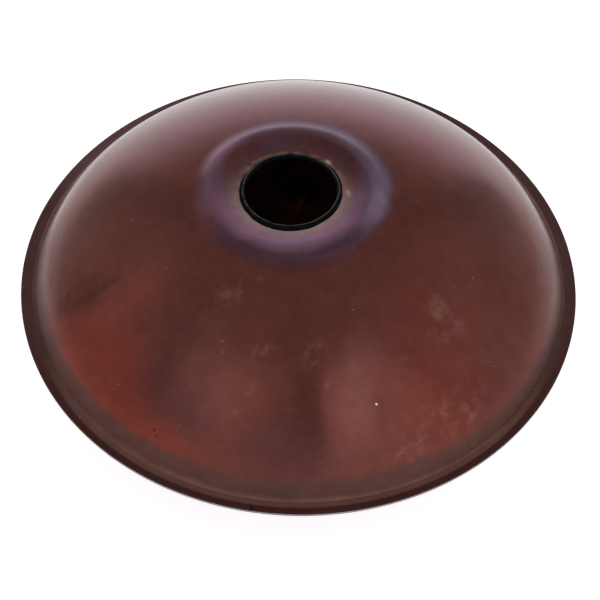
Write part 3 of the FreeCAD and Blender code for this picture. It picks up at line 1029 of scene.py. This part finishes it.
def note_steel():
    """The same oxide, with a hotter halo round each hammered note and its dimple."""
    look = bpy.context.scene.handpan_look
    press, notes = bpy.context.scene.handpan_press, bpy.context.scene.handpan_notes
    finish = Finish("note_side_oxide")
    place = wander(finish, 30, 12)
    cloud, mottle = clouds(finish, 60, 12)
    finish.colour = look.brown
    finish.coat(finish.step(cloud, 0.35, 0.65), (0.15, 0.046, 0.034))
    halo, core, flat = None, None, None
    for heading, half_length, half_width in tone_fields(notes):
        out = press.crown_radius * math.sin(notes.field_polar)
        x, y = out * math.cos(heading), -out * math.sin(heading)
        size = (half_length * math.cos(notes.field_polar), half_width, 10.0)
        inside = finish.length(finish.mapped((x, y, 0), -heading, size, place))
        halo = finish.most(halo, finish.step(inside, 0.75, 1.0) * finish.step(inside, 1.22, 1.02))
        core = finish.most(core, finish.step(inside, 0.30, 0.40) * finish.step(inside, 0.62, 0.45))
        flat = finish.most(flat, finish.step(inside, 1.05, 0.85))
    from_centre = finish.length(finish.from_axis(place=place))
    halo = finish.most(halo, finish.band(from_centre, 80, 92, 94, 108))
    core = finish.most(core, finish.band(from_centre, 28, 38, 44, 56))
    finish.coat(flat * 0.5, AMBER)
    finish.coat(halo * (0.5 + 0.4 * cloud), look.violet)
    finish.coat(core * 0.6, STEEL_BLUE)
    reach = finish.length(finish.from_axis(place=wander(finish, 40, 4)))
    olive = finish.fade(reach, 241, 246)
    finish.coat(olive * 0.85, look.olive)
    flange_tone(finish, look, -1)
    marks = finish.step(mottle, 0.6, 0.72) * finish.step(cloud, 0.5, 0.66)
    faint = streaks(finish, 35, 1.0, 26, 0.61, 0.75) * finish.step(cloud, 0.42, 0.6)
    faint += streaks(finish, 160, 1.0, 24, 0.63, 0.76, 0.5) * finish.step(cloud, 0.6, 0.4)
    finish.coat(marks * 0.3, SMUDGE)
    finish.coat(faint * 0.12, SMUDGE)
    finish.coat(specks(finish, 9, 0.55, 0.16) * 0.5, BRIGHT)
    # the hammer's faces leave small dull ovals over the notes
    inputs = {"Vector": finish.place, "Scale": 1 / (11 * MM), "Smoothness": 0.6}
    blows = finish.node("ShaderNodeTexVoronoi", {"feature": "SMOOTH_F1"}, inputs)
    struck = Level(finish, blows.outputs["Distance"]) * (0.25 + 0.75 * flat)
    rough = 0.26 + 0.06 * mottle + 0.12 * marks + 0.08 * olive + 0.05 * flat
    normal = finish.bump(struck, 0.1, 0.5 * MM, grain(finish))
    finish.set(Base_Color=finish.colour, Metallic=1.0, Roughness=rough, Normal=normal)
    return finish.material


def inner_steel():
    """The inside keeps a duller, redder oxide with a few dark clouds."""
    finish = Finish("inner_oxide")
    cloud = finish.noise(finish.place, 1 / (45 * MM), 4.0, 0.6)
    colour = finish.mix(finish.step(cloud, 0.35, 0.7), (0.12, 0.026, 0.018), (0.030, 0.012, 0.011))
    rough = 0.36 + 0.16 * cloud
    finish.set(Base_Color=colour, Metallic=1.0, Roughness=rough, Normal=grain(finish, 0.1))
    return finish.material


def ground_edge():
    """Steel ground bare, with the fine marks of the wheel and some stain from the bond."""
    look = bpy.context.scene.handpan_look
    finish = Finish("ground_edge")
    x, y, z = finish.split(finish.place)
    turned = finish.math("ARCTAN2", y, x) * 240
    unrolled = finish.node("ShaderNodeCombineXYZ", {}, {0: turned, 1: z * 900, 2: 0.0})
    wheel = finish.noise(unrolled.outputs[0], 1.0, 3.0)
    stain = finish.step(finish.noise(finish.place, 1 / (16 * MM), 3.0), 0.52, 0.72)
    colour = finish.mix(stain * 0.5, look.bare, (0.20, 0.13, 0.10))
    finish.set(Base_Color=colour, Metallic=1.0, Roughness=0.3 + 0.22 * wheel)
    finish.set(Normal=finish.bump(wheel, 0.25, 0.08 * MM))
    return finish.material


def edging_rubber():
    """Black extruded rubber, dusty in places, with a painted highlight: a pale, slightly glossier
    line along the lip.
    """
    finish = Finish("edging_rubber")
    dust = finish.noise(finish.place, 1 / (7 * MM), 5.0, 0.7)
    pores = finish.noise(finish.place, 1 / (0.7 * MM))
    # painted highlight: a pale line along the lip's crown, shifted with the side and broken up by
    # noise
    around = finish.from_axis(PORT_X, 0, wander(finish, 16, 1.6))
    along = finish.split(around)[1]
    off_line = finish.math("ABSOLUTE", finish.length(around) - HIGHLIGHT_LINE_RADIUS - along * 0.03)
    pale_band = finish.fade(off_line, 0.75, 0.15) * finish.step(dust, 0.3, 0.5)
    dusty = finish.step(dust, 0.5, 0.75)
    finish.colour = finish.mix(dusty, (0.0014, 0.0014, 0.0015), (0.005, 0.005, 0.005))
    finish.coat(pale_band * 0.85, (0.085, 0.088, 0.086))
    normal = finish.bump(pores, 0.15, 0.1 * MM)
    finish.set(Base_Color=finish.colour, Roughness=0.5 - 0.15 * pale_band, Normal=normal)
    finish.set(Specular_IOR_Level=0.05)
    return finish.material


def cured_adhesive():
    """Dark brown resin, uneven in colour, glossy where it squeezed out."""
    finish = Finish("cured_adhesive")
    cloud = finish.noise(finish.place, 1 / (9 * MM), 4.0, 0.6)
    colour = finish.mix(cloud, (0.012, 0.008, 0.006), (0.055, 0.032, 0.02))
    lumps = finish.noise(finish.place, 1 / (2.4 * MM), 3.0)
    finish.set(Base_Color=colour, Roughness=0.28 + 0.3 * cloud)
    finish.set(Normal=finish.bump(lumps, 0.3, 0.15 * MM))
    return finish.material


# -------------------- the stage


def add_camera(stage):
    """The camera looks at the rim's centre from the front and above, a little off it."""
    centre = Vector((0, 0, SEAM + BOND_GAP / 2 + SHEET))
    reach = Vector((0, -math.cos(stage.elevation), math.sin(stage.elevation))) * stage.distance
    ahead = -reach.normalized()
    across = Vector((1, 0, 0))
    ahead = ahead + across * math.tan(stage.yaw) + across.cross(ahead) * math.tan(stage.pitch)
    ahead.normalize()
    across = ahead.cross(AXIS).normalized()
    above = across.cross(ahead)
    cosine, sine = math.cos(stage.roll), math.sin(stage.roll)
    right = across * cosine + above * sine
    up = above * cosine - across * sine
    data = bpy.data.cameras.new("camera")
    data.lens = stage.lens
    camera = bpy.data.objects.new("camera", data)
    turned = Matrix((right, up, -ahead)).transposed().to_4x4()
    camera.matrix_world = Matrix.Translation(centre + reach) @ turned
    bpy.context.scene.collection.objects.link(camera)
    bpy.context.scene.camera = camera


def add_floor(stage):
    """Pale paper, lit a little from within so that it stays as white as the studio's walls."""
    deselect_everything()
    bpy.ops.mesh.primitive_grid_add(x_subdivisions=8, y_subdivisions=8, size=8, location=(0, 0, 0))
    floor = bpy.context.object
    floor.name = "floor"
    finish = Finish("floor_paper")
    finish.set(Base_Color=stage.floor, Roughness=0.9)
    finish.set(Emission_Color=(0.97, 0.97, 1.0), Emission_Strength=0.62)
    floor.data.materials.append(finish.material)


def add_sky():
    """A white tent: a bright sheet behind, soft panels in front, and dim gaps between them."""
    world = bpy.data.worlds.new("studio")
    world.use_nodes = True
    sky = Nodes(world.node_tree)
    x, y, z = sky.split(sky.texture.outputs["Generated"])
    # headings in degrees: 0 behind the object, positive to the right
    heading = sky.math("ARCTAN2", x, y) * math.degrees(1)
    off = sky.math("ABSOLUTE", heading)
    height = sky.math("ARCSINE", z) * math.degrees(1)

    def panel(value, low, high, soft):
        return sky.step(value, low - soft, low + soft) * sky.step(value, high + soft, high - soft)

    level = 0.6 + 0.16 * panel(off, 49, 112, 8) * sky.step(height, 56, 34)
    sheet = sky.step(off, 38, 30) * sky.step(height, 27, 0)
    level += 0.68 * sheet + 0.1 * sheet * sky.step(height, 5, -10)
    level += 0.4 * panel(heading, -172, -122, 8) * panel(height, -20, 66, 10)
    level += 0.62 * panel(heading, 118, 172, 9) * panel(height, -20, 66, 9)
    level += 0.12 * panel(heading, 72, 125, 14) * panel(height, -20, 70, 10)
    level += 0.22 * sky.step(off, 166, 176) * sky.step(height, 50, 40)
    gaps = 0.1 * panel(off, 36, 47, 4) * sky.step(height, 66, 40)
    gaps += 0.34 * panel(heading, -74, -70, 2) * sky.step(height, 34, 24)
    gaps += 0.12 * sky.step(off, 168, 178) * sky.step(height, 48, 56)
    background = sky.tree.nodes["Background"]
    sky.connect(background.inputs["Strength"], level - gaps)
    sky.connect(background.inputs["Color"], sky.mix(sheet, (1.0, 1.0, 1.0), (0.98, 0.96, 1.19)))
    bpy.context.scene.world = world


class HANDPAN_OT_stage(bpy.types.Operator):
    """Set up the camera, the floor and the lights"""

    bl_idname = "handpan.stage"
    bl_label = "Stage"

    def execute(self, context):
        stage = context.scene.handpan_stage
        context.scene.view_settings.view_transform = "Standard"
        add_camera(stage)
        add_floor(stage)
        add_sky()
        return {"FINISHED"}


class HANDPAN_PT_sidebar(bpy.types.Panel):
    """The handpan's pieces and settings"""

    bl_idname = "HANDPAN_PT_sidebar"
    bl_label = "Handpan"
    bl_space_type = "VIEW_3D"
    bl_region_type = "UI"
    bl_category = "Handpan"

    def draw(self, context):
        for operator in OPERATORS:
            self.layout.operator(operator.bl_idname)
        for name in SETTINGS:
            box = self.layout.box()
            group = getattr(context.scene, name)
            for key in group.bl_rna.properties.keys():
                if key not in ("rna_type", "name"):
                    box.prop(group, key)


SETTINGS = {
    "handpan_press": PressShape,
    "handpan_port": PortShape,
    "handpan_notes": NoteShape,
    "handpan_look": SteelLook,
    "handpan_stage": StageLook,
}
OPERATORS = (
    HANDPAN_OT_port_shell,
    HANDPAN_OT_note_shell,
    HANDPAN_OT_port_trim,
    HANDPAN_OT_rim_bond,
    HANDPAN_OT_stage,
)
CLASSES = (*SETTINGS.values(), *OPERATORS, HANDPAN_PT_sidebar)


def register():
    for cls in CLASSES:
        bpy.utils.register_class(cls)
    for name, cls in SETTINGS.items():
        setattr(bpy.types.Scene, name, PointerProperty(type=cls))


def unregister():
    for name in SETTINGS:
        delattr(bpy.types.Scene, name)
    for cls in reversed(CLASSES):
        bpy.utils.unregister_class(cls)


def main():
    register()
    bpy.ops.handpan.port_shell()
    bpy.ops.handpan.note_shell()
    bpy.ops.handpan.port_trim()
    bpy.ops.handpan.rim_bond()
    bpy.ops.handpan.stage()


if __name__ == "__main__":
    main()
